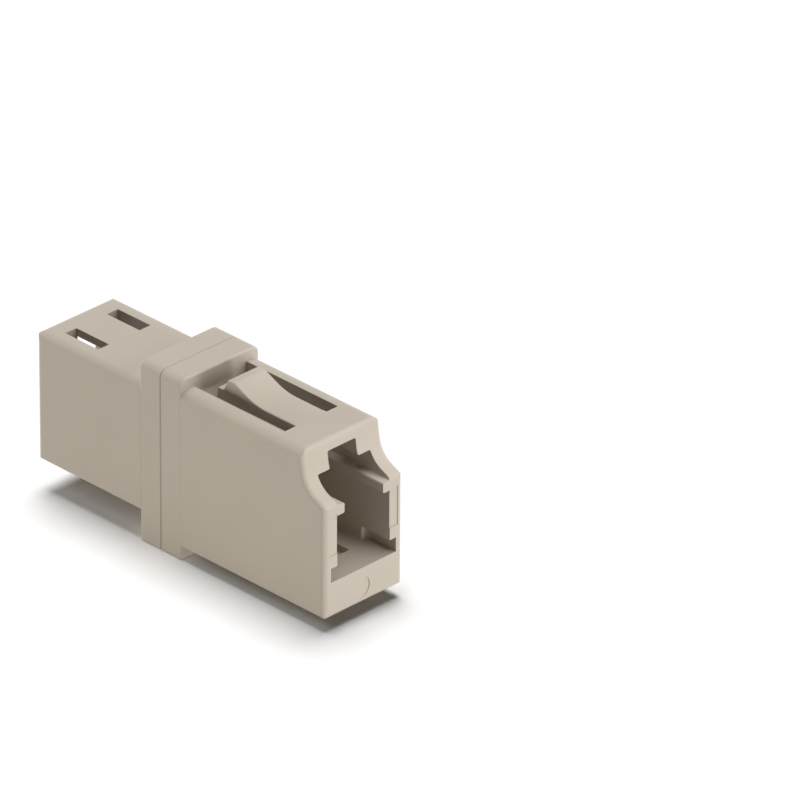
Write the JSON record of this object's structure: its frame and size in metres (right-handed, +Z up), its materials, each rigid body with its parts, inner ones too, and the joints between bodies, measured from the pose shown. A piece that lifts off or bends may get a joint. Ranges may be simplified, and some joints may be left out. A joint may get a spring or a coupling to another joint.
{
  "type": "lc fibre adapter",
  "caption": "Simplex fibre adapter with a scooped plug port, a square plug port, a flange between them and a sprung panel latch on top.",
  "frame": {"origin": "on the optical axis, in the plane where the two housings meet in the middle of the flange", "axes": "+X along the optical axis towards the long front port, +Y across, +Z up towards the panel latch"},
  "size_m": [0.026, 0.0068, 0.013],
  "materials": {
    "housing_plastic": "satin",
    "sleeve_ceramic": "polished"
  },
  "bodies": {
    "housing": {"front_housing": "housing_plastic", "rear_housing": "housing_plastic", "alignment_sleeve": "sleeve_ceramic"},
    "latch": {"panel_latch": "housing_plastic"}
  },
  "joints": [
    {"name": "latch_flex", "type": "hinge", "parent": "housing", "child": "latch", "pos_m": [0.01003, 0, 0.00568], "axis": [0, -1, 0], "range_deg": [0, 9], "stiffness_Nm_per_rad": 0.12}
  ]
}
